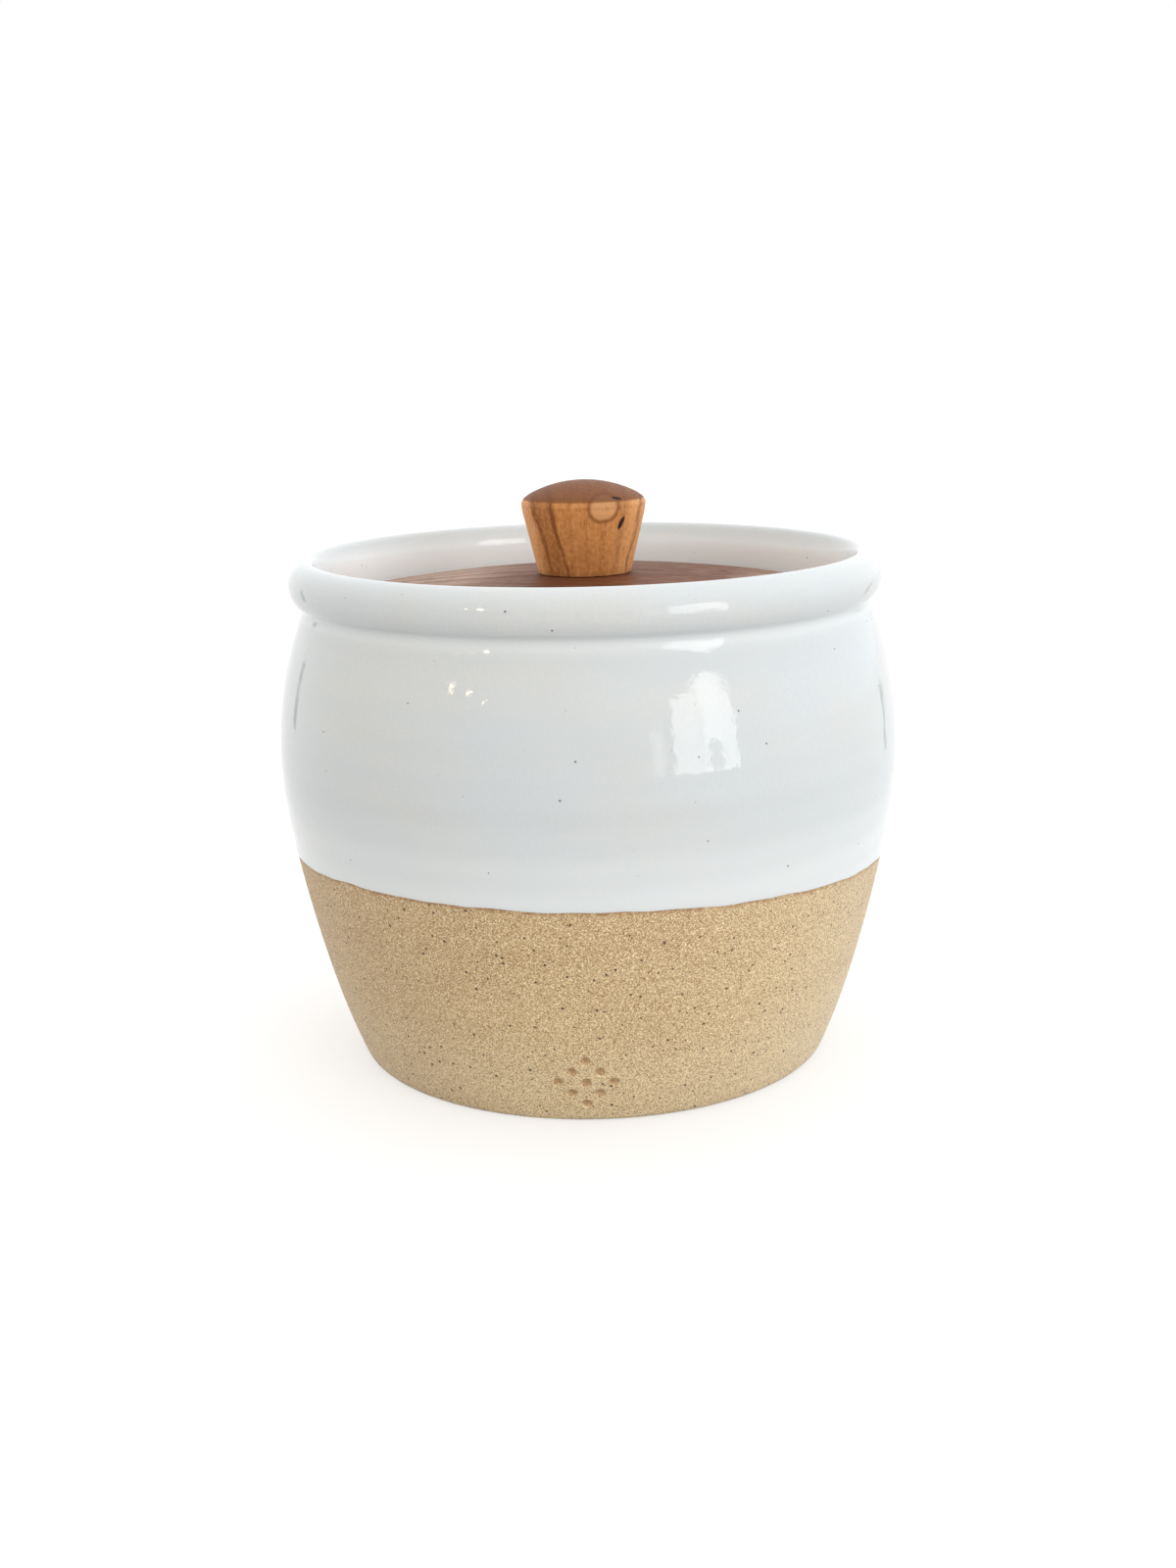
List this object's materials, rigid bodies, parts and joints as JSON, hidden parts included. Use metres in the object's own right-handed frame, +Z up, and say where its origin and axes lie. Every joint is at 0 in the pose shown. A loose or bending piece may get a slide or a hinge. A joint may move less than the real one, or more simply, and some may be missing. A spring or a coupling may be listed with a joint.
{
  "type": "pickle crock",
  "caption": "Round-bellied stoneware crock, white glazed above a bare clay band, with a domed wooden lid set on an inner ledge and half-moon weights inside.",
  "frame": {"origin": "middle of the flat base that the crock stands on", "axes": "+Z up along the crock's axis, -Y towards the side that the picture shows"},
  "size_m": [0.19, 0.19, 0.1752],
  "materials": {
    "white_glaze": "gloss",
    "bare_clay": "matte",
    "dark_wood": "satin",
    "light_wood": "satin",
    "stainless_steel": "satin"
  },
  "bodies": {
    "crock": {"crock_body": "white_glaze"},
    "lid": {"lid_disc": "dark_wood", "lid_knob": "light_wood", "knob_screw": "stainless_steel"},
    "weight_left": {"weight_left": "bare_clay"},
    "weight_right": {"weight_right": "bare_clay"}
  },
  "joints": [
    {"name": "lid_lift", "type": "slide", "parent": "crock", "child": "lid", "axis": [0, 0, 1], "range_m": [0, 0.12]},
    {"name": "weight_left_lift", "type": "slide", "parent": "crock", "child": "weight_left", "axis": [0, 0, 1], "range_m": [0, 0.105]},
    {"name": "weight_right_lift", "type": "slide", "parent": "crock", "child": "weight_right", "axis": [0, 0, 1], "range_m": [0, 0.105]}
  ]
}
